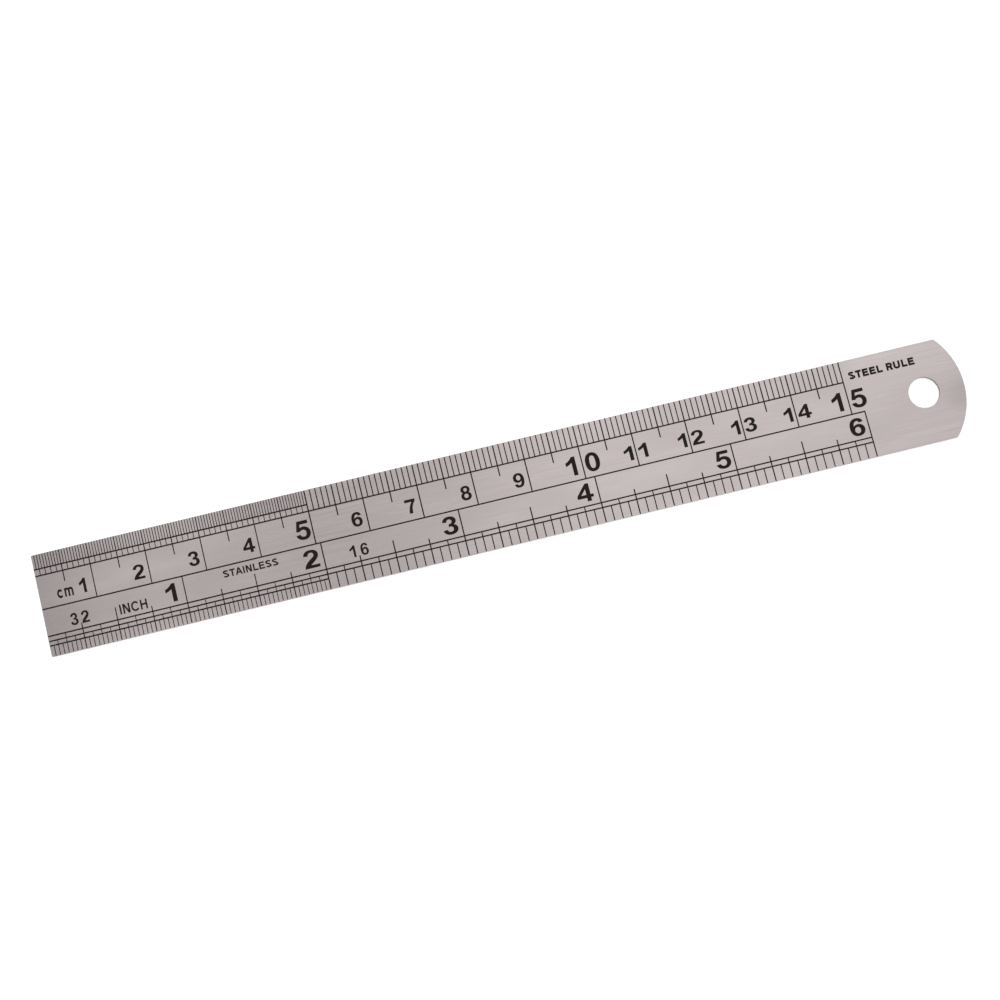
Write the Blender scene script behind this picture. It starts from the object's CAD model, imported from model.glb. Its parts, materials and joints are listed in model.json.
"""Pocket steel rule with etched, enamel-filled marks.

The rule lies flat: its back face is on z = 0 and its marked front face looks up (+Z). It runs
along +X from the square end at x = 0 to the rounded end with the hanging hole, and is centred on
y = 0. The metric scale follows the +Y edge, the inch scale the -Y edge. Sizes are in millimetres.
"""

import json
import math
import re

import bpy
import numpy as np
from mathutils import Matrix, Vector
from mathutils.geometry import delaunay_2d_cdt

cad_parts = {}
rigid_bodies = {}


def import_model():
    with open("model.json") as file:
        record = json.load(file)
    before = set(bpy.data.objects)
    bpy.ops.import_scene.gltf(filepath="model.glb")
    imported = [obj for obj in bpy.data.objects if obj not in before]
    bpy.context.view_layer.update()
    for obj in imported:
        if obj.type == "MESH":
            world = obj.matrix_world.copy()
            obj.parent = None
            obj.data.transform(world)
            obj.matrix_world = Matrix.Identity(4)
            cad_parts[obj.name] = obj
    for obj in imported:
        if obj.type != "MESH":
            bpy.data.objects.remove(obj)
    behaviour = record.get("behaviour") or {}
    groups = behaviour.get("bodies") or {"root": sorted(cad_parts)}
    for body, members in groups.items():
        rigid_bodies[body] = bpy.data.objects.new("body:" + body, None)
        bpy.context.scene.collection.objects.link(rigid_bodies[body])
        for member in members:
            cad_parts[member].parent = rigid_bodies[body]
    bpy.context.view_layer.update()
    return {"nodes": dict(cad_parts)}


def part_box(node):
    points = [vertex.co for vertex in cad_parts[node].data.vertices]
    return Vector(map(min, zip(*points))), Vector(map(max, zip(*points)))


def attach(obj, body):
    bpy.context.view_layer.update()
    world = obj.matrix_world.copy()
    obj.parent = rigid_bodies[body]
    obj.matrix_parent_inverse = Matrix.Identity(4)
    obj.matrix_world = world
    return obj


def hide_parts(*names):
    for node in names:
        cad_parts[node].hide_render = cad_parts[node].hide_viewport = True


MM = 0.001  # metres in a millimetre

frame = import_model()
scene = bpy.context.scene


def box_mm(name):
    """The low and high corners of a CAD piece."""
    lo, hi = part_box(name)
    return lo / MM, hi / MM


# ---------------------------------------------------------------- blade sizes
_, blade_hi = box_mm("blade")
LENGTH, HALF_W, THICK = blade_hi
INCH = 25.4

END_R = 14.0  # rounded end
END_X, END_Y = LENGTH - END_R, 0.35
HOLE_X, HOLE_Y, HOLE_R = 163.9, 0.13, 2.87
CORNER_R = 0.14  # plan radius of the four corners
ROLL_R = 0.055  # rolled edge of the front face
BURR_R = 0.03  # edge of the back face
TAPER = 0.012  # the torn half of the cut wall leans in by this much

ETCH = 0.032  # depth of the etched marks
FILL_LOW = 0.003  # the enamel sits this far below the steel

# ---------------------------------------------------------------- scale sizes
GUIDE_W = 0.26  # lines running along the rule
TICK_W, LONG_TICK_W = 0.2, 0.235
FINE_TICK_W, FINE_LONG_TICK_W = 0.145, 0.195  # half-millimetre and 1/32 inch stretches
MARK_MARGIN = 0.006  # flat steel left between the marks and the rolled edge
MARK_START_X = ROLL_R + MARK_MARGIN
MARK_EDGE_Y = HALF_W - ROLL_R - MARK_MARGIN

# guide lines, from the metric edge to the inch edge
HALF_MM_Y, MM_Y, CENTRE_Y = 6.65, 5.42, -0.68
EIGHTH_Y, SIXTEENTH_Y, THIRTYSECOND_Y = -5.62, -6.53, -7.36
# inner ends of the ticks that stop between guide lines
FIVE_MM_Y, HALF_INCH_Y, QUARTER_INCH_Y = 3.46, -3.34, -4.58

# ---------------------------------------------------------------- lettering
# how far the etch creeps out past the drawn outline of each digit
SPREAD = {
    "0": 0.029, "1": 0.02, "2": -0.01, "3": 0.007, "4": 0.015,
    "5": 0.008, "6": 0.013, "7": 0.037, "8": 0.014, "9": 0.005,
}
SMALL_SPREAD = -0.002  # the same for the small division numbers

# mark: text, left and right ends of the ink, foot, height, pen width, extra gap between letters
# (pen width and gap are in thousandths of the letter height)
WORDS = {
    "unit_cm": ("cm", 3.2, 6.12, 0.59, 2.2, 195, 30),
    "unit_inch": ("INCH", 13.4, 18.4, -4.84, 1.79, 188, 0),
    "word_stainless": ("STAINLESS", 32.6, 42.7, -2.8, 1.31, 212, 0),
    "word_steel_rule": ("STEEL RULE", 151.2, 163.7, 5.62, 1.42, 275, 0),
}
WORD_SPACE = 390

# digit outlines on a body 1000 high: M starts a loop, L is a line and C a cubic curve
DIGITS = {
    "0": """
M392 1012C150 1012 0 815 0 500C0 185 150 -12 392 -12C634 -12 785 185 785 500
C785 815 634 1012 392 1012
M392 850C514 850 557 730 557 500C557 270 514 150 392 150C270 150 228 270 228 500
C228 730 270 850 392 850""",
    "1": """
M345 0L345 715C250 640 130 585 0 550L0 735C80 760 160 805 235 862
C305 917 355 970 375 1010L570 1010L570 0""",
    "2": """
M20 700C30 905 180 1012 395 1012C615 1012 750 890 750 712C750 630 722 560 660 480
C618 425 560 372 480 305C405 243 350 205 325 175L750 175L750 0L0 0C12 110 48 205 125 305
C175 370 250 435 360 520C470 605 525 650 525 715C525 800 475 850 390 850
C300 850 245 795 238 680""",
    "3": """
M20 740C50 910 180 1012 375 1012C590 1012 720 890 720 745C720 650 668 575 575 530
C690 500 760 405 760 290C760 110 600 -12 385 -12C175 -12 25 100 0 275L215 300
C235 205 295 150 380 150C470 150 530 208 530 300C530 390 470 440 385 440
C360 440 330 435 300 427L325 590C440 590 500 635 500 715C500 790 450 850 370 850
C295 850 240 800 225 705""",
    "4": """
M490 0L490 205L0 205L0 372L520 1005L710 1005L710 372L860 372L860 205L710 205L710 0
M490 378L490 710L210 378""",
    "5": """
M700 1000L700 820L275 820L240 640C295 668 350 682 405 682C610 682 765 545 765 340
C765 130 605 -15 385 -15C175 -15 25 95 0 262L220 285C235 200 300 150 385 150
C480 150 545 220 545 340C545 455 480 515 380 515C310 515 255 485 205 430L30 455L140 1000""",
    "6": """
M735 765C715 925 590 1012 410 1012C160 1012 0 840 0 480C0 150 150 -12 400 -12
C615 -12 770 130 770 335C770 535 630 660 440 660C350 660 275 625 220 560
C225 740 300 850 415 850C470 850 510 815 520 740
M395 505C485 505 545 440 545 325C545 210 485 145 400 145C310 145 240 220 240 335
C240 440 310 505 395 505""",
    "7": """
M15 1000L750 1000L750 855C640 740 570 620 520 485C475 360 455 200 450 0L235 0
C240 165 275 330 335 480C380 600 450 720 540 820L15 820""",
    "8": """
M385 1012C190 1012 50 910 50 745C50 655 95 585 180 540C65 495 10 405 10 290
C10 105 165 -12 385 -12C605 -12 765 105 765 290C765 405 705 495 590 540
C675 585 722 655 722 745C722 910 580 1012 385 1012
M385 860C470 860 515 805 515 735C515 665 470 610 385 610C300 610 258 665 258 735
C258 805 300 860 385 860
M385 455C485 455 545 390 545 300C545 205 485 145 385 145C285 145 230 205 230 300
C230 390 285 455 385 455""",
}
# the 9 is the 6 given half a turn
DIGITS["9"] = re.sub(
    r"(-?\d+) (-?\d+)", lambda pair: f"{770 - int(pair[1])} {1000 - int(pair[2])}", DIGITS["6"]
)


# ---------------------------------------------------------------- flat outlines
def bezier_loop(text, steps=12):
    """An outline string as a closed list of points."""
    points = []
    for letter, rest in re.findall(r"([MLC])([^MLC]*)", text):
        numbers = [float(v) for v in rest.split()]
        pairs = list(zip(numbers[0::2], numbers[1::2]))
        if letter in "ML":
            points.append(pairs[0])
            continue
        a = np.array(points[-1])
        b, c, d = (np.array(q) for q in pairs)
        for i in range(1, steps + 1):
            t = i / steps
            q = a * (1 - t) ** 3 + 3 * b * t * (1 - t) ** 2 + 3 * c * t * t * (1 - t) + d * t**3
            points.append(tuple(q))
    first, last = points[0], points[-1]
    if np.hypot(first[0] - last[0], first[1] - last[1]) < 1e-6:
        points.pop()
    return points


def stroke(points, width):
    """A centre line thickened to a closed outline with square ends."""
    line = np.array(points, float)
    along = np.gradient(line, axis=0)
    along[0], along[-1] = line[1] - line[0], line[-1] - line[-2]
    across = np.stack([-along[:, 1], along[:, 0]], 1)
    across /= np.linalg.norm(across, axis=1)[:, None]
    left, right = line + across * width / 2, line - across * width / 2
    return [tuple(q) for q in np.concatenate([right, left[::-1]])]


def grow(loop, by):
    """A closed outline moved outward by a small distance, with mitred corners."""
    here = np.array(loop, float)
    after = np.roll(here, -1, axis=0)
    if np.sum(here[:, 0] * after[:, 1] - after[:, 0] * here[:, 1]) < 0:
        by = -by
    edge = after - here
    normal = np.stack([edge[:, 1], -edge[:, 0]], 1) / np.linalg.norm(edge, axis=1)[:, None]
    normal_before = np.roll(normal, 1, axis=0)
    mitre = np.maximum(1 + np.sum(normal * normal_before, axis=1), 0.35)
    return [tuple(v) for v in here + (normal + normal_before) / mitre[:, None] * by]


def place(loop, x0, y0, scale_x, scale_y):
    return [(x0 + x * scale_x, y0 + y * scale_y) for x, y in loop]


def ellipse(cx, cy, rx, ry, start, end, steps=20):
    """Points along an elliptical arc between two angles in degrees."""
    angles = np.radians(np.linspace(start, end, steps + 1))
    return [(cx + rx * math.cos(t), cy + ry * math.sin(t)) for t in angles]


def rectangle(x0, y0, x1, y1):
    return [(x0, y0), (x1, y0), (x1, y1), (x0, y1)]


def letters(pen):
    """Plain sans letters on a body 1000 high, drawn with strokes `pen` wide.

    Each is (left space, width, right space, outlines).
    """
    half = pen / 2
    stem = rectangle(0, 0, pen, 1000)

    l_w = 560 + pen * 0.7
    e_w = 590 + pen * 0.85
    n_w = 600 + pen  # H and N
    c_w = 720 + pen
    u_w = 620 + pen
    s_w = 640 + pen
    right_stem = rectangle(n_w - pen, 0, n_w, 1000)

    a_mid, a_w = 492, 985
    a_apex = [(a_mid + pen * 0.56, 1000), (a_mid - pen * 0.56, 1000)]

    c_rx = c_w / 2 + 20
    c_arc = ellipse(c_rx, 500, c_rx - half, 512 - half, 36, 324, 44)
    u_bowl = ellipse(u_w / 2, 350, u_w / 2 - half, 362 - half, 180, 360, 28)

    r_top = 1000 - half
    r_bowl = ellipse(
        480, r_top - 245 + half * 0.35, 270 - half * 0.35, 245 - half * 0.35, 90, -90, 22
    )
    r_line = [(half, r_top), (480, r_top)] + r_bowl[1:] + [(half, r_top - 490 + half * 0.7)]
    r_leg = [(400, 470), (400 + pen * 1.15, 470), (870, 0), (870 - pen * 1.25, 0)]

    s_mid = s_w / 2
    s_line = (
        ellipse(s_mid, 738 + half * 0.04, s_mid - half - 28, 262 - half, 18, 252, 24)[:-1]
        + [(s_mid - 60, 545), (s_mid + 60, 505)]
        + ellipse(s_mid, 268, s_mid - half, 268 - half, 70, -160, 24)[1:]
    )

    m_pitch = 385 + (pen - 130) * 0.3
    m_rx = m_pitch / 2

    def m_arch(x):
        """One arch of the m, from the stem centred on x to the foot of the next."""
        top = ellipse(x + m_rx, 500, m_rx, 240 - half, 180, 0, 20)[1:-1]
        return stroke([(x, 380)] + top + [(x + m_pitch, 430), (x + m_pitch, 0)], pen)

    return {
        "I": (95, pen, 95, [stem]),
        "L": (100, l_w, 40, [stem, rectangle(half, 0, l_w, pen)]),
        "T": (30, 790, 30, [
            rectangle(395 - half, 0, 395 + half, 1000),
            rectangle(0, 1000 - pen, 790, 1000),
        ]),
        "E": (100, e_w, 55, [
            stem,
            rectangle(half, 0, e_w, pen),
            rectangle(half, 1000 - pen, 570 + pen * 0.8, 1000),
            rectangle(half, 515 - half, 530 + pen * 0.8, 515 + half),
        ]),
        "H": (100, n_w, 100, [
            stem,
            right_stem,
            rectangle(half, 520 - half, n_w - half, 520 + half),
        ]),
        "N": (100, n_w, 100, [
            stem,
            right_stem,
            [(0, 1000), (n_w - pen * 1.18, 0), (n_w, 0), (pen * 1.18, 1000)],
        ]),
        "A": (0, a_w, 0, [
            [(0, 0), (pen * 1.08, 0)] + a_apex,
            [(a_w - pen * 1.08, 0), (a_w, 0)] + a_apex,
            rectangle(a_mid - 270, 225, a_mid + 270, 225 + pen * 0.86),
        ]),
        "C": (60, c_w, 50, [stroke(c_arc, pen)]),
        "U": (100, u_w, 100, [stroke([(half, 1000)] + u_bowl + [(u_w - half, 1000)], pen)]),
        "R": (100, 860, 20, [stem, stroke(r_line, pen), r_leg]),
        "S": (55, s_w, 50, [stroke(s_line, pen)]),
        "c": (50, 500 + pen, 40, [
            stroke(ellipse(250 + half + 8, 363, 258, 375 - half, 40, 320, 36), pen),
        ]),
        "m": (90, 2 * m_pitch + pen, 90, [
            rectangle(0, 0, pen, 728),
            m_arch(half),
            m_arch(half + m_pitch),
        ]),
    }


# ---------------------------------------------------------------- the marks
# A mark is a list of parts, and a part is [outer outline, inner outline, ...].
def scale_marks(guides, unit, divisions, count, fine_count, inner_ends, long_every, edge_y):
    """Guide lines (y, far end), then ticks numbered in divisions of the unit.

    Odd ticks stop after fine_count. inner_ends lists (every how many ticks, y), finest first.
    """
    parts = [
        [rectangle(MARK_START_X, y - GUIDE_W / 2, end_x, y + GUIDE_W / 2)] for y, end_x in guides
    ]
    for i in range(1, count + 1):
        if i % 2 and i > fine_count:
            continue
        x = i * unit / divisions
        inner_y = [y for every, y in inner_ends if i % every == 0][-1]
        short, long = (TICK_W, LONG_TICK_W)
        if i < fine_count:
            short, long = (FINE_TICK_W, FINE_LONG_TICK_W)
        width = short if i % long_every else long
        y0, y1 = sorted((inner_y, edge_y))
        parts.append([rectangle(x - width / 2, y0, x + width / 2, y1)])
    return parts


def metric_marks():
    return scale_marks(
        guides=[(HALF_MM_Y, 50), (MM_Y, 150), (CENTRE_Y, 6 * INCH + LONG_TICK_W / 2)],
        unit=1,
        divisions=2,
        count=300,
        fine_count=100,
        inner_ends=[
            (1, HALF_MM_Y - GUIDE_W / 2),
            (2, MM_Y - GUIDE_W / 2),
            (10, FIVE_MM_Y),
            (20, CENTRE_Y),
        ],
        long_every=10,
        edge_y=MARK_EDGE_Y,
    )


def inch_marks():
    return scale_marks(
        guides=[(EIGHTH_Y, 6 * INCH), (SIXTEENTH_Y, 6 * INCH), (THIRTYSECOND_Y, 2 * INCH)],
        unit=INCH,
        divisions=32,
        count=192,
        fine_count=64,
        inner_ends=[
            (1, THIRTYSECOND_Y + GUIDE_W / 2),
            (2, SIXTEENTH_Y + GUIDE_W / 2),
            (4, EIGHTH_Y + GUIDE_W / 2),
            (8, QUARTER_INCH_Y),
            (16, HALF_INCH_Y),
            (32, CENTRE_Y - GUIDE_W / 2),
        ],
        long_every=8,
        edge_y=-MARK_EDGE_Y,
    )


def numeral(name, digit):
    """A digit fitted to the box of its CAD node."""
    loops = [bezier_loop(text) for text in re.findall(r"M[^M]*", DIGITS[digit])]
    lo, hi = box_mm(name)
    xs, ys = zip(*loops[0])
    spread = SMALL_SPREAD if name.startswith("division") else SPREAD[digit]
    scale_x = (hi.x - lo.x - 2 * spread) / (max(xs) - min(xs))
    scale_y = (hi.y - lo.y - 2 * spread) / (max(ys) - min(ys))
    x0 = lo.x + spread - min(xs) * scale_x
    y0 = lo.y + spread - min(ys) * scale_y
    outline, *counters = [place(loop, x0, y0, scale_x, scale_y) for loop in loops]
    return [[grow(outline, spread)] + [grow(counter, -spread) for counter in counters]]


def word(text, x0, x1, y0, height, pen, gap):
    """Sets a word so that its ink runs from x0 to x1."""
    glyphs = letters(pen)
    placed, x = [], 0.0
    for letter in text:
        if letter == " ":
            x += WORD_SPACE + gap
            continue
        left, width, right, outlines = glyphs[letter]
        x += left if placed else 0
        placed.append((outlines, x))
        end = x + width
        x = end + right + gap
    scale_x, scale_y = (x1 - x0) / end, height / 1000
    return [
        [place(outline, x0 + x * scale_x, y0, scale_x, scale_y)]
        for outlines, x in placed
        for outline in outlines
    ]


def all_marks():
    marks = {"metric_graduations": metric_marks(), "inch_graduations": inch_marks()}
    for name in sorted(frame["nodes"]):
        m = re.match(r"(?:cm_numeral|inch_numeral|division)_(\d+)(?:_(tens|units))?$", name)
        if m:
            number, position = m.groups()
            marks[name] = numeral(name, number[0] if position == "tens" else number[-1])
    for name, setting in WORDS.items():
        marks[name] = word(*setting)
    return marks


# ---------------------------------------------------------------- blade outlines and wall
# An outline point is (x, y, outward x, outward y).
def blade_outline(step=4.0):
    points = []

    def arc(cx, cy, radius, start, end, steps):
        for i in range(steps + 1):
            a = start + (end - start) * i / steps
            x, y = cx + radius * math.cos(a), cy + radius * math.sin(a)
            if not points or math.hypot(x - points[-1][0], y - points[-1][1]) > 1e-6:
                points.append((x, y, math.cos(a), math.sin(a)))

    def line(x1, y1):
        """Points from the last one up to, but not including, (x1, y1)."""
        x0, y0, nx, ny = points[-1]
        steps = max(1, round(math.hypot(x1 - x0, y1 - y0) / step))
        for i in range(1, steps):
            points.append((x0 + (x1 - x0) * i / steps, y0 + (y1 - y0) * i / steps, nx, ny))

    def end_corner(y):
        """Centre x of the corner arc at height y, and the angle where it meets the end arc."""
        dy = y - END_Y
        x = END_X + math.sqrt((END_R - CORNER_R) ** 2 - dy * dy)
        return x, math.atan2(dy, x - END_X)

    low_y, high_y = -HALF_W + CORNER_R, HALF_W - CORNER_R
    low_x, low_angle = end_corner(low_y)
    high_x, high_angle = end_corner(high_y)
    arc(CORNER_R, low_y, CORNER_R, math.pi, 1.5 * math.pi, 7)
    line(low_x, -HALF_W)
    arc(low_x, low_y, CORNER_R, -math.pi / 2, low_angle, 5)
    arc(END_X, END_Y, END_R, low_angle, high_angle, 110)
    arc(high_x, high_y, CORNER_R, high_angle, math.pi / 2, 5)
    line(CORNER_R, HALF_W)
    arc(CORNER_R, high_y, CORNER_R, math.pi / 2, math.pi, 7)
    line(0, low_y)
    return points


def hole_outline(count=128):
    """The hanging hole; outward from the steel is towards its centre."""
    turns = [(math.cos(a), math.sin(a)) for a in (2 * math.pi * i / count for i in range(count))]
    return [(HOLE_X + HOLE_R * c, HOLE_Y + HOLE_R * s, -c, -s) for c, s in turns]


def wall_profile():
    """(inset, height, outward part of normal, upward part) from the front face to the back."""
    rows = []
    for k in range(5):
        a = math.pi / 2 * (1 - k / 4)
        c, s = math.cos(a), math.sin(a)
        rows.append((ROLL_R * (1 - c), THICK - ROLL_R * (1 - s), c, s))
    rows.append((0.0, THICK * 0.55, 1.0, 0.0))
    rows.append((TAPER * 0.35, THICK * 0.5, 0.998, -0.06))
    rows.append((TAPER, BURR_R, 0.998, -0.06))
    for k in range(1, 4):
        a = -math.pi / 2 * k / 3
        c, s = math.cos(a), math.sin(a)
        rows.append((TAPER + BURR_R * (1 - c), BURR_R * (1 + s), c, s))
    return rows


def inset(outline, by):
    return [(x - nx * by, y - ny * by) for x, y, nx, ny in outline]


# ---------------------------------------------------------------- flat triangulation
def inside(loop, points):
    """Which points lie inside the closed outline."""
    a = np.array(loop)
    b = np.roll(a, -1, axis=0)
    result = np.zeros(len(points), bool)
    near = np.nonzero(np.all((points > a.min(axis=0)) & (points < a.max(axis=0)), axis=1))[0]
    if len(near) == 0:
        return result
    x, y = points[near, 0][:, None], points[near, 1][:, None]
    crosses = (a[:, 1] > y) != (b[:, 1] > y)
    with np.errstate(divide="ignore", invalid="ignore"):
        cross_x = (b[:, 0] - a[:, 0]) * (y - a[:, 1]) / (b[:, 1] - a[:, 1]) + a[:, 0]
    result[near] = (np.sum(crosses & (x < cross_x), axis=1) % 2) == 1
    return result


def triangulate(loops):
    """Points, counter-clockwise triangles and triangle centres that respect every loop."""
    verts, edges = [], []
    for loop in loops:
        k = len(verts)
        verts += [Vector(q) for q in loop]
        edges += [(k + i, k + (i + 1) % len(loop)) for i in range(len(loop))]
    points, _, tris, *_ = delaunay_2d_cdt(verts, edges, [], 0, 1e-5, False)
    points = np.array([tuple(q) for q in points])
    tris = np.array([tuple(t) for t in tris])
    a, b, c = (points[tris[:, k]] for k in range(3))
    area = (b[:, 0] - a[:, 0]) * (c[:, 1] - a[:, 1]) - (b[:, 1] - a[:, 1]) * (c[:, 0] - a[:, 0])
    tris[area < 0] = tris[area < 0][:, ::-1]
    return points, tris, points[tris].mean(axis=1)


def index_of(points, wanted):
    """The triangulation's own index of each wanted point."""
    return [int(np.argmin((points[:, 0] - x) ** 2 + (points[:, 1] - y) ** 2)) for x, y in wanted]


def border_edges(tris):
    """Directed edges that belong to one triangle only."""
    edges = set()
    for t in tris:
        for a, b in ((t[0], t[1]), (t[1], t[2]), (t[2], t[0])):
            edges.add((int(a), int(b)))
    return [(a, b) for a, b in sorted(edges) if (b, a) not in edges]


NO_MARK, OFF_BLADE = -1, -2


def front_plan(marks, edge_ring, hole_ring):
    """The front face as points and triangles, with the number of the mark each belongs to."""
    mark_loops = [loop for parts in marks.values() for part in parts for loop in part]
    points, tris, centres = triangulate([edge_ring, hole_ring] + mark_loops)
    owner = np.full(len(tris), NO_MARK)
    for number, parts in enumerate(marks.values()):
        for part in parts:
            inked = inside(part[0], centres)
            for inner in part[1:]:
                inked &= ~inside(inner, centres)
            owner[inked & (owner < 0)] = number
    owner[~(inside(edge_ring, centres) & ~inside(hole_ring, centres))] = OFF_BLADE
    return points, tris, owner


# ---------------------------------------------------------------- materials
X_AXIS, Y_AXIS, Z_AXIS = (1.0, 0.0, 0.0), (0.0, 1.0, 0.0), (0.0, 0.0, 1.0)


class Nodes:
    """Small helper for writing node trees."""

    def __init__(self, tree):
        self.tree = tree
        self.tree.nodes.clear()

    def add(self, kind, **settings):
        """Adds a node. `_name` sets a property, `i0` an input by number, `__` is a space."""
        node = self.tree.nodes.new(kind)
        for name, value in settings.items():
            if name.startswith("_"):
                setattr(node, name[1:], value)
                continue
            key = int(name[1:]) if re.match(r"i\d+$", name) else name.replace("__", " ")
            if isinstance(value, bpy.types.NodeSocket):
                self.tree.links.new(value, node.inputs[key])
            else:
                node.inputs[key].default_value = value
        return node

    def math(self, op, a, b=0.0, clamp=False):
        return self.add("ShaderNodeMath", _operation=op, _use_clamp=clamp, i0=a, i1=b).outputs[0]

    def plus(self, a, b, clamp=False):
        return self.math("ADD", a, b, clamp)

    def times(self, a, b):
        return self.math("MULTIPLY", a, b)

    def inverse(self, value):
        return self.math("SUBTRACT", 1.0, value)

    def centred(self, value):
        return self.math("SUBTRACT", value, 0.5)

    def vec(self, op, a, b=(0.0, 0.0, 0.0)):
        node = self.add("ShaderNodeVectorMath", _operation=op, i0=a, i1=b)
        return node.outputs["Value" if op in ("DOT_PRODUCT", "LENGTH") else 0]

    def dot(self, a, b):
        return self.vec("DOT_PRODUCT", a, b)

    def object_mm(self):
        """Object coordinates in millimetres."""
        coordinates = self.add("ShaderNodeTexCoord").outputs["Object"]
        return self.vec("MULTIPLY", coordinates, (1 / MM,) * 3)

    def noise(self, vector, stretch=None, scale=1.0, detail=3.0, rough=0.5):
        """Noise, with `stretch` as its frequency along each axis."""
        if stretch:
            vector = self.vec("MULTIPLY", vector, stretch)
        return self.add(
            "ShaderNodeTexNoise", Vector=vector, Scale=scale, Detail=detail, Roughness=rough
        ).outputs["Fac"]

    def remap(self, value, span, to=(0.0, 1.0), smooth=False):
        return self.add(
            "ShaderNodeMapRange",
            _interpolation_type="SMOOTHSTEP" if smooth else "LINEAR",
            i0=value, i1=span[0], i2=span[1], i3=to[0], i4=to[1],
        ).outputs[0]

    def mix(self, factor, a, b):
        """Colour mix; a and b are RGBA."""
        return self.add("ShaderNodeMix", _data_type="RGBA", i0=factor, i6=a, i7=b).outputs[2]


def new_material(name):
    material = bpy.data.materials.new(name)
    material.use_nodes = True
    return material, Nodes(material.node_tree)


def steel_scratches(n, mm):
    """Faint handling scratches in two sets, each off the grain by a few degrees."""
    # angle, noise frequency, noise levels where a scratch starts and is full
    sets = (
        (7.0, (0.10, 5.5, 5.5), (0.71, 0.76)),
        (-16.0, (0.16, 6.5, 6.5), (0.73, 0.78)),
    )
    lines = []
    for angle, stretch, span in sets:
        tilted = n.add("ShaderNodeVectorRotate", Vector=mm, Angle=math.radians(angle)).outputs[0]
        lines.append(n.remap(n.noise(tilted, stretch, detail=1.0, rough=0.4), span))
    return n.plus(*lines, clamp=True)


def steel_face_colour(n, mm, grain, cloud, scratch):
    dark, light = (0.470, 0.416, 0.418, 1.0), (0.650, 0.575, 0.578, 1.0)
    clouded, patched = (0.500, 0.446, 0.444, 1.0), (0.505, 0.478, 0.466, 1.0)
    scratched, fresh_steel = (0.72, 0.68, 0.67, 1.0), (1.0, 0.93, 0.93, 1.0)
    black = (0.0, 0.0, 0.0, 1.0)

    face = n.mix(n.remap(grain, span=(-0.45, 0.45)), dark, light)
    face = n.mix(n.remap(cloud, span=(-0.2, 0.2), to=(0.0, 0.8)), face, clouded)
    patch_offset = (7.3, 2.1, 0.0)
    patch_at = n.vec("ADD", n.vec("MULTIPLY", mm, (0.05, 0.11, 0.11)), patch_offset)
    patch = n.noise(patch_at, detail=2.5)
    patch = n.remap(patch, span=(0.46, 0.62), to=(0.0, 0.42), smooth=True)
    face = n.mix(patch, face, patched)
    scratch_strength = 0.16
    face = n.mix(n.times(scratch, scratch_strength), face, scratched)

    # a finger-dulled oval at the rounded end
    dull_centre, dull_scale = (171.2, -1.9, 0.0), (1 / 4.8, 1 / 3.6, 0.0)
    from_centre = n.vec("MULTIPLY", n.vec("SUBTRACT", mm, dull_centre), dull_scale)
    dull = n.remap(n.vec("LENGTH", from_centre), span=(0.15, 1.0), to=(0.13, 0.0), smooth=True)
    face = n.mix(dull, face, black)

    # steel that stayed brighter beside the hole, where it is held less
    x, y = n.dot(mm, X_AXIS), n.dot(mm, Y_AXIS)
    fresh = n.times(
        n.remap(x, span=(148.0, 154.0), smooth=True),
        n.remap(y, span=(0.5, 3.6), to=(0.0, 0.085), smooth=True),
    )
    return n.mix(fresh, face, fresh_steel)


def steel_wall_colour(n, mm, torn, stria):
    """The punched hole, and the brighter outside edges, which are dressed after blanking."""
    cut_sheared, cut_torn = (0.25, 0.232, 0.229, 1.0), (0.115, 0.106, 0.104, 1.0)
    cut_line = (0.07, 0.064, 0.063, 1.0)
    dressed_sheared, dressed_torn = (0.50, 0.462, 0.456, 1.0), (0.36, 0.332, 0.327, 1.0)
    dressed_line = (0.24, 0.222, 0.219, 1.0)

    cut = n.mix(torn, cut_sheared, cut_torn)
    cut = n.mix(n.remap(stria, span=(0.3, 0.7), to=(0.0, 0.45)), cut, cut_line)
    in_plan = n.vec("MULTIPLY", mm, (1.0, 1.0, 0.0))
    off_hole = n.vec("LENGTH", n.vec("SUBTRACT", in_plan, (HOLE_X, HOLE_Y, 0.0)))
    dressed = n.mix(torn, dressed_sheared, dressed_torn)
    dressed = n.mix(n.remap(stria, span=(0.3, 0.7), to=(0.0, 0.35)), dressed, dressed_line)
    # the dressed edges only show their full brightness when seen along the wall
    facing = n.add("ShaderNodeLayerWeight", Blend=0.5).outputs["Facing"]
    grazing = n.remap(facing, span=(0.35, 0.8), smooth=True)
    head_on_share = 0.25
    dressed = n.mix(grazing, n.mix(head_on_share, cut, dressed), dressed)
    return n.mix(n.remap(off_hole, span=(HOLE_R + 0.3, HOLE_R + 0.6)), cut, dressed)


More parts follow.
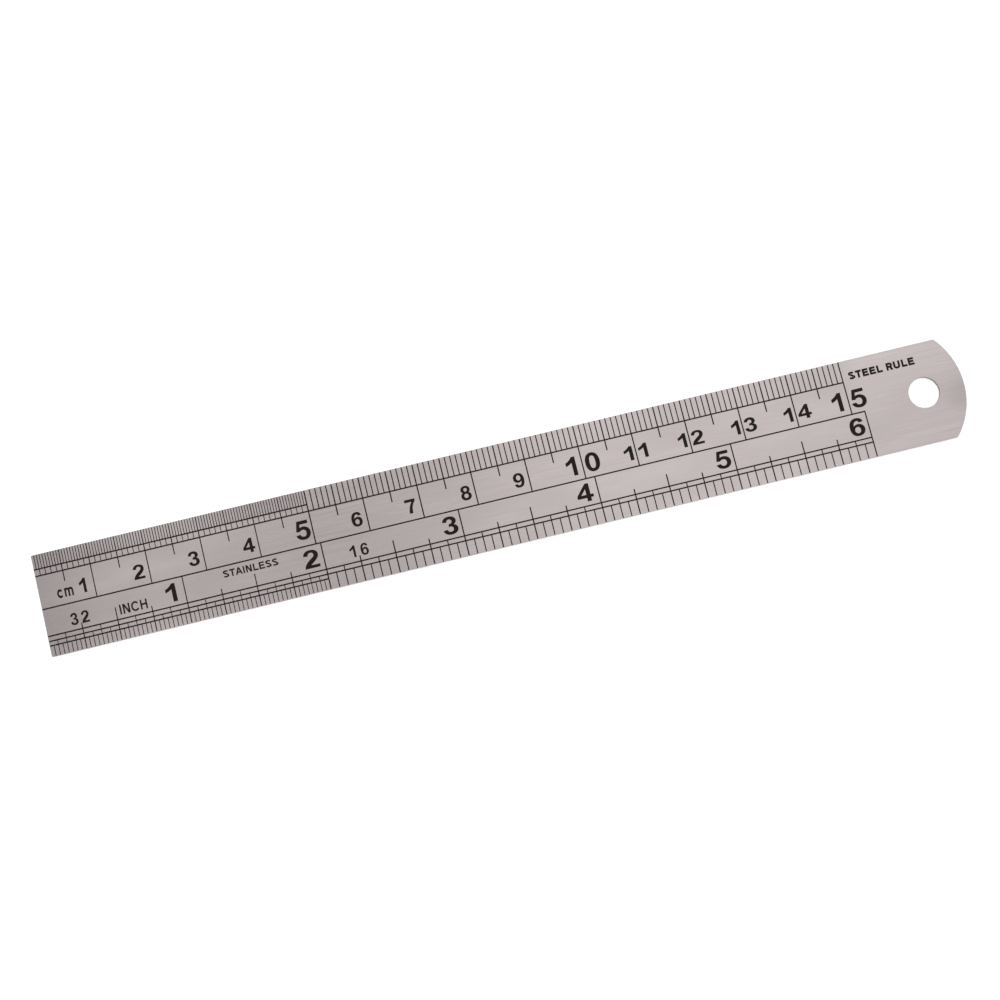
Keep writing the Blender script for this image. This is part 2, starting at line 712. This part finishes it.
def steel_material():
    material, n = new_material("brushed_stainless")
    geometry = n.add("ShaderNodeNewGeometry")
    mm = n.object_mm()

    # fine lines of the belt finish, running along the rule
    coarse = n.noise(mm, stretch=(0.045, 2.6, 2.6), detail=5.0, rough=0.62)
    fine = n.noise(mm, stretch=(0.11, 9.0, 9.0), detail=4.0, rough=0.6)
    hair = n.noise(mm, stretch=(0.35, 30.0, 30.0), detail=2.0)
    grain_gains = ((coarse, 0.8), (fine, 0.9), (hair, 0.7))
    coarse_part, fine_part, hair_part = (n.times(n.centred(v), gain) for v, gain in grain_gains)
    grain = n.plus(coarse_part, n.plus(fine_part, hair_part))
    # slow clouding from rolling and handling
    cloud = n.centred(n.noise(mm, stretch=(0.045, 0.16, 0.16)))
    scratch = steel_scratches(n, mm)

    # cut walls: bright sheared band above, dull torn band below
    upright = n.math("ABSOLUTE", n.dot(geometry.outputs["Normal"], Z_AXIS))
    wall = n.remap(upright, span=(0.35, 0.8), to=(1.0, 0.0), smooth=True)
    z = n.dot(mm, Z_AXIS)
    ragged_height = 0.16
    ragged = n.times(n.centred(n.noise(mm, scale=3.2, detail=2.0)), ragged_height)
    torn_span = (THICK * 0.5, THICK * 0.56)
    torn = n.remap(n.plus(z, ragged), span=torn_span, to=(1.0, 0.0), smooth=True)
    stria = n.noise(mm, stretch=(9.0, 9.0, 0.8), rough=0.6)

    face = steel_face_colour(n, mm, grain, cloud, scratch)
    colour = n.mix(wall, face, steel_wall_colour(n, mm, torn, stria))

    # base roughness, then what the grain, clouding and torn band add to it
    face_rough, grain_rough, cloud_rough = 0.225, 0.12, 0.16
    cut_rough, torn_rough = 0.36, 0.22
    rough_face = n.plus(
        face_rough, n.plus(n.times(grain, grain_rough), n.times(cloud, cloud_rough))
    )
    rough_cut = n.plus(cut_rough, n.times(torn, torn_rough))
    rough = n.plus(n.times(rough_face, n.inverse(wall)), n.times(rough_cut, wall))
    face_anisotropy = 0.55
    anisotropy = n.times(n.inverse(wall), face_anisotropy)
    stria_relief = 6.0  # against the relief of the face lines
    height = n.plus(
        n.times(n.plus(fine, hair), n.inverse(wall)),
        n.times(stria, n.times(wall, stria_relief)),
    )
    bump = n.add("ShaderNodeBump", Strength=0.5, Distance=0.0000012, Height=height)
    bsdf = n.add(
        "ShaderNodeBsdfPrincipled",
        Base__Color=colour,
        Metallic=1.0,
        Roughness=rough,
        Anisotropic=anisotropy,
        Normal=bump.outputs[0],
        Tangent=n.add("ShaderNodeCombineXYZ", X=0.0, Y=1.0, Z=0.0).outputs[0],
    )
    n.add("ShaderNodeOutputMaterial", Surface=bsdf.outputs[0])
    return material


def enamel_material():
    material, n = new_material("black_enamel_fill")
    mm = n.object_mm()
    dark, light = (0.0062, 0.0016, 0.0019, 1.0), (0.0125, 0.0056, 0.0058, 1.0)
    speck_share, patch_share = 0.55, 0.45
    speck = n.noise(mm, scale=14.0, rough=0.6)
    patch = n.noise(mm, scale=0.55, detail=2.0)
    tone = n.plus(n.times(speck, speck_share), n.times(patch, patch_share))
    colour = n.mix(n.remap(tone, span=(0.3, 0.7)), dark, light)
    rough = n.remap(speck, span=(0.3, 0.7), to=(0.45, 0.65))
    bump = n.add("ShaderNodeBump", Strength=0.5, Distance=0.000004, Height=speck)
    bsdf = n.add(
        "ShaderNodeBsdfPrincipled",
        Base__Color=colour,
        Roughness=rough,
        Normal=bump.outputs[0],
        Specular__IOR__Level=0.2,
    )
    n.add("ShaderNodeOutputMaterial", Surface=bsdf.outputs[0])
    return material


def floor_material():
    """White and faintly glowing from above, clear from below."""
    material, n = new_material("white_floor")
    geometry = n.add("ShaderNodeNewGeometry")
    diffuse = n.add("ShaderNodeBsdfDiffuse", Color=(0.95, 0.95, 0.95, 1.0))
    glow = n.add("ShaderNodeEmission", Color=(1.0, 1.0, 1.0, 1.0), Strength=0.35)
    lit = n.add("ShaderNodeAddShader", i0=diffuse.outputs[0], i1=glow.outputs[0])
    clear = n.add("ShaderNodeBsdfTransparent")
    surface = n.add(
        "ShaderNodeMixShader",
        Fac=geometry.outputs["Backfacing"],
        i1=lit.outputs[0],
        i2=clear.outputs[0],
    )
    n.add("ShaderNodeOutputMaterial", Surface=surface.outputs[0])
    return material


# ---------------------------------------------------------------- meshes
def new_object(name, verts, faces, material, normals=None):
    mesh = bpy.data.meshes.new(name)
    mesh.from_pydata([tuple(c * MM for c in v) for v in verts], [], faces)
    mesh.materials.append(material)
    if normals is not None:
        mesh.polygons.foreach_set("use_smooth", [True] * len(mesh.polygons))
        mesh.normals_split_custom_set(normals)
    mesh.update()
    obj = bpy.data.objects.new(name, mesh)
    scene.collection.objects.link(obj)
    return obj


class Layer:
    """Flat points at one height, each made a mesh vertex when first used."""

    def __init__(self, verts, points, z):
        self.verts, self.points, self.z = verts, points, z
        self.made = {}

    def ids(self, indices):
        for i in indices:
            if i not in self.made:
                self.made[i] = len(self.verts)
                self.verts.append((self.points[i][0], self.points[i][1], self.z))
        return [self.made[i] for i in indices]


def build_blade(points, tris, owner, edges, material):
    """The steel, with every mark etched into it. `edges` holds the outer and hole outlines."""
    verts, faces, normals = [], [], []

    def face(ids, corner_normals):
        faces.append(tuple(ids))
        normals.extend(corner_normals)

    up, down = (0.0, 0.0, 1.0), (0.0, 0.0, -1.0)
    top = Layer(verts, points, THICK)
    pocket = Layer(verts, points, THICK - ETCH)
    for t in tris[owner == NO_MARK]:
        face(top.ids(t), [up] * 3)
    inked = tris[owner >= 0]
    for t in inked:
        face(pocket.ids(t), [up] * 3)
    for a, b in border_edges(inked):
        dx, dy = points[b] - points[a]
        length = math.hypot(dx, dy)
        into_pocket = (-dy / length, dx / length, 0.0)
        face(top.ids((a, b)) + pocket.ids((b, a)), [into_pocket] * 4)

    profile = wall_profile()
    back_rings = [inset(outline, profile[-1][0]) for outline in edges]
    back_points, back_tris, centres = triangulate(back_rings)
    back = Layer(verts, back_points, 0.0)
    for t in back_tris[inside(back_rings[0], centres) & ~inside(back_rings[1], centres)]:
        face(back.ids(t)[::-1], [down] * 3)

    # order of each wall face's corners: the hole runs the other way round
    for outline, back_ring, order in zip(edges, back_rings, (1, -1)):
        count = len(outline)
        rows = [top.ids(index_of(points, inset(outline, ROLL_R)))]
        for by, z, _, _ in profile[1:-1]:
            rows.append([len(verts) + i for i in range(count)])
            verts.extend((x, y, z) for x, y in inset(outline, by))
        rows.append(back.ids(index_of(back_points, back_ring)))
        row_normals = [[(nx * p[2], ny * p[2], p[3]) for _, _, nx, ny in outline] for p in profile]
        for j in range(len(rows) - 1):
            for i in range(count):
                k = (i + 1) % count
                corners = ((j, i), (j + 1, i), (j + 1, k), (j, k))[::order]
                face([rows[r][c] for r, c in corners], [row_normals[r][c] for r, c in corners])

    blade = new_object("steel_blade", verts, faces, material, normals)
    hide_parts("blade")
    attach(blade, "root")


def build_fill(name, points, tris, material):
    """One mark's enamel: a thin solid that stands in its etched pocket."""
    verts, faces = [], []
    low = Layer(verts, points, THICK - ETCH)
    high = Layer(verts, points, THICK - FILL_LOW)
    for t in tris:
        faces.append(tuple(high.ids(t)))
        faces.append(tuple(low.ids(t[::-1])))
    for a, b in border_edges(tris):
        faces.append(tuple(low.ids((a, b)) + high.ids((b, a))))
    fill = new_object(name + "_fill", verts, faces, material)
    if name in frame["nodes"]:
        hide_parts(name)
    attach(fill, "root")


def build_rule():
    marks = all_marks()
    edges = (blade_outline(), hole_outline())
    points, tris, owner = front_plan(marks, *(inset(outline, ROLL_R) for outline in edges))
    steel, enamel = steel_material(), enamel_material()
    build_blade(points, tris, owner, edges, steel)
    for number, name in enumerate(marks):
        build_fill(name, points, tris[owner == number], enamel)


# ---------------------------------------------------------------- floor, light and camera
def build_floor():
    reach, z = 6000.0, -0.02
    corners = [(x, y, z) for x, y in rectangle(-reach, -reach, reach, reach)]
    new_object("floor", corners, [(0, 1, 2, 3)], floor_material())


# how far the reflected ray leans towards the hanging hole, and the softbox brightness there
SOFTBOX_LEVELS = [
    (-0.40, 0.23), (-0.22, 0.10), (-0.18, 0.76), (-0.15, 1.30), (-0.12, 1.10), (-0.08, 0.66),
    (-0.05, 0.54), (-0.02, 0.72), (0.01, 0.79), (0.05, 0.95), (0.08, 1.09), (0.12, 1.11),
    (0.18, 1.03), (0.24, 1.13), (0.28, 1.05), (0.32, 0.81), (0.40, 0.65), (0.60, 0.66),
]


def build_world():
    """A banded softbox overhead for reflections, and an even white for everything else."""
    horizon_level, plain_level = 0.86, 1.06
    least_up = 0.15  # keeps the lean finite near the horizon

    world = bpy.data.worlds.new("studio")
    scene.world = world
    world.use_nodes = True
    n = Nodes(world.node_tree)
    direction = n.add("ShaderNodeTexCoord").outputs["Generated"]
    along = n.dot(direction, X_AXIS)
    up = n.dot(direction, Z_AXIS)
    lean = n.math("DIVIDE", along, n.math("MAXIMUM", up, least_up))
    first, last = SOFTBOX_LEVELS[0][0], SOFTBOX_LEVELS[-1][0]
    ramp = n.add("ShaderNodeValToRGB", Fac=n.remap(lean, span=(first, last)))
    elements = ramp.color_ramp.elements
    for i, (at, brightness) in enumerate(SOFTBOX_LEVELS):
        # a ramp starts with two elements
        element = elements[i] if i < 2 else elements.new(1.0)
        element.position = (at - first) / (last - first)
        element.color = (brightness, brightness, brightness, 1.0)

    overhead = n.dot(ramp.outputs[0], X_AXIS)
    low = n.remap(up, span=(0.25, 0.75), to=(1.0, 0.0), smooth=True)
    level = n.plus(n.times(overhead, n.inverse(low)), n.times(low, horizon_level))
    glossy = n.add("ShaderNodeLightPath").outputs["Is Glossy Ray"]
    strength = n.plus(n.times(level, glossy), n.times(n.inverse(glossy), plain_level))
    background = n.add("ShaderNodeBackground", Color=(1.0, 1.0, 1.0, 1.0), Strength=strength)
    n.add("ShaderNodeOutputWorld", Surface=background.outputs[0])


def build_key_light():
    """A round softbox above the metric side; places are in metres."""
    position, target = Vector((-0.35, 0.75, 0.85)), Vector((0.085, 0.0, 0.0))
    light = bpy.data.lights.new("key_softbox", "AREA")
    light.shape = "DISK"
    light.size = 0.9
    light.energy = 1.0
    obj = bpy.data.objects.new("key_softbox", light)
    obj.location = position
    obj.rotation_mode = "QUATERNION"
    obj.rotation_quaternion = (target - position).to_track_quat("-Z", "Y")
    scene.collection.objects.link(obj)


def build_camera():
    """Looks down on the front face from above."""
    position = Vector((65.5496, -54.9388, 348.9442 + THICK))
    right = (0.97074, -0.239709, 0.014268)
    up = (0.234381, 0.95874, 0.160882)
    backward = (-0.052244, -0.15283, 0.986871)
    camera_data = bpy.data.cameras.new("camera")
    camera_data.sensor_width = 36.0
    camera_data.lens = 70.6266
    camera_data.shift_x, camera_data.shift_y = -0.0005, 0.0005
    camera_data.clip_start, camera_data.clip_end = 0.01, 20.0
    camera = bpy.data.objects.new("camera", camera_data)
    turn = Matrix((right, up, backward)).transposed().to_4x4()
    camera.matrix_world = Matrix.Translation(position * MM) @ turn
    scene.collection.objects.link(camera)
    scene.camera = camera
    scene.view_settings.view_transform = "Standard"


build_rule()
build_floor()
build_world()
build_key_light()
build_camera()
